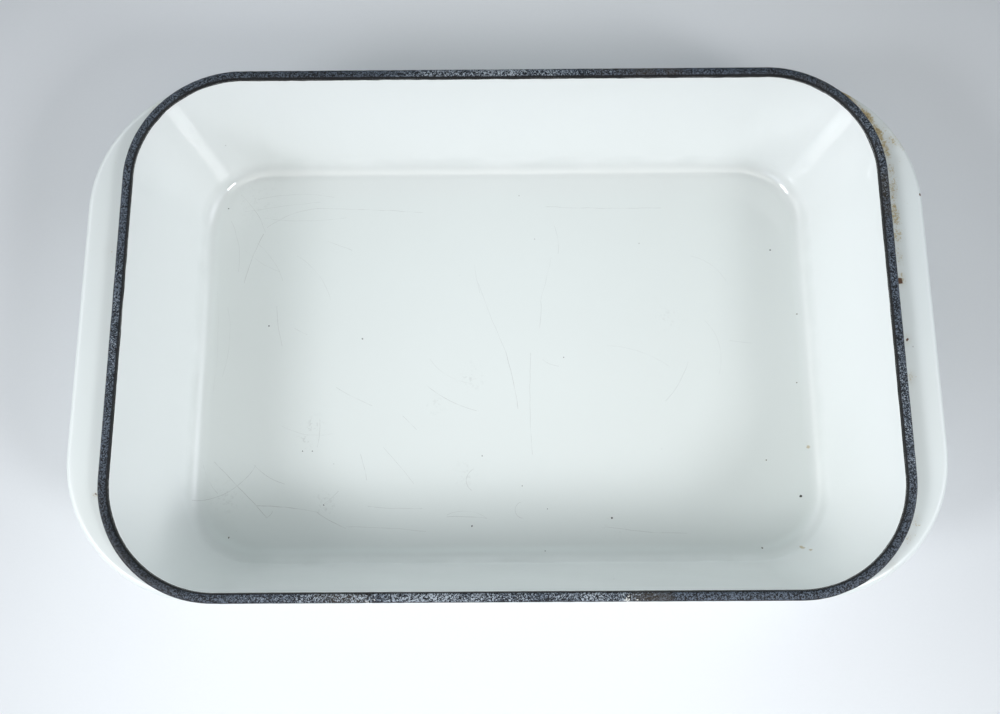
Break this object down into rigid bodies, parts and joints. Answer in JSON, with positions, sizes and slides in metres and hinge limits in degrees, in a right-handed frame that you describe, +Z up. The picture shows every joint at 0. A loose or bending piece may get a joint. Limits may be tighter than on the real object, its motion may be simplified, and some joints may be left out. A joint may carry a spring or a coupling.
{
  "type": "developing tray",
  "caption": "Deep rectangular enamelled steel tray for developing prints, with sloping walls, a rolled black rim and a channel-shaped handle along each short end.",
  "frame": {"origin": "on the table under the middle of the tray", "axes": "+X along the tray's length, towards the right handle; +Y across it; +Z up"},
  "size_m": [0.44, 0.277, 0.0853],
  "materials": {
    "sheet_steel": "satin",
    "wire": "satin",
    "handle_steel": "satin",
    "welds": "satin",
    "lining": "gloss",
    "outer_coat": "gloss",
    "handle_coat": "gloss",
    "rim_coat": "satin"
  },
  "bodies": {
    "root": {"steel_pan": "sheet_steel", "rim_wire": "wire", "white_lining": "lining", "white_outer_coat": "outer_coat", "black_rim_coat": "rim_coat", "left_handle": "handle_steel", "right_handle": "handle_steel", "left_handle_coat": "handle_coat", "right_handle_coat": "handle_coat", "left_plug_welds": "welds", "right_plug_welds": "welds"}
  },
  "joints": []
}
